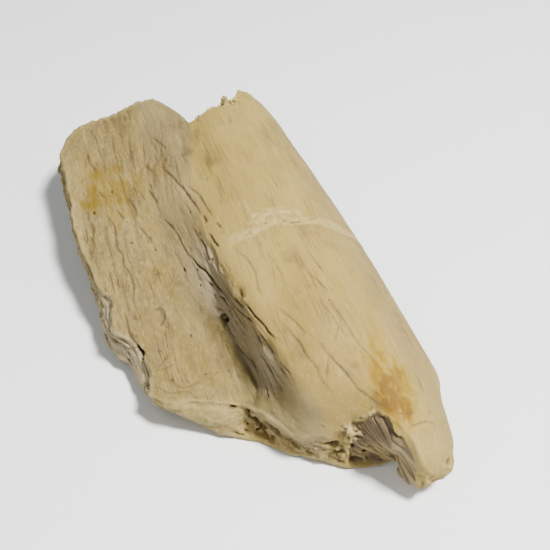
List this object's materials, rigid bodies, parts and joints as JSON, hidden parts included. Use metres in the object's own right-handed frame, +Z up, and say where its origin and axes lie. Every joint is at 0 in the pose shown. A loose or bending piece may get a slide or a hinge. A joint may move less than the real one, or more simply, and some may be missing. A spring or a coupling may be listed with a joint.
{
  "type": "fossil dinosaur rib",
  "caption": "Weathered piece of fossil dinosaur rib: a thick rounded bar with a thin hollowed wing along its side, broken off at its ends, lying on its underside.",
  "frame": {"origin": "middle of the bounding box at its base, on the plane the piece rests on", "axes": "+X along the bar, from the narrow near end to the wide far end; +Y from the bar towards the wing; +Z up"},
  "size_m": [0.154, 0.083, 0.0322],
  "materials": {
    "fossil_bone": "dry, matt mineralised bone: tan with ochre and orange-brown stains, fine cracks along the grain and spongy broken faces"
  },
  "bodies": {
    "root": {"rib_fragment": "fossil_bone"}
  },
  "joints": []
}
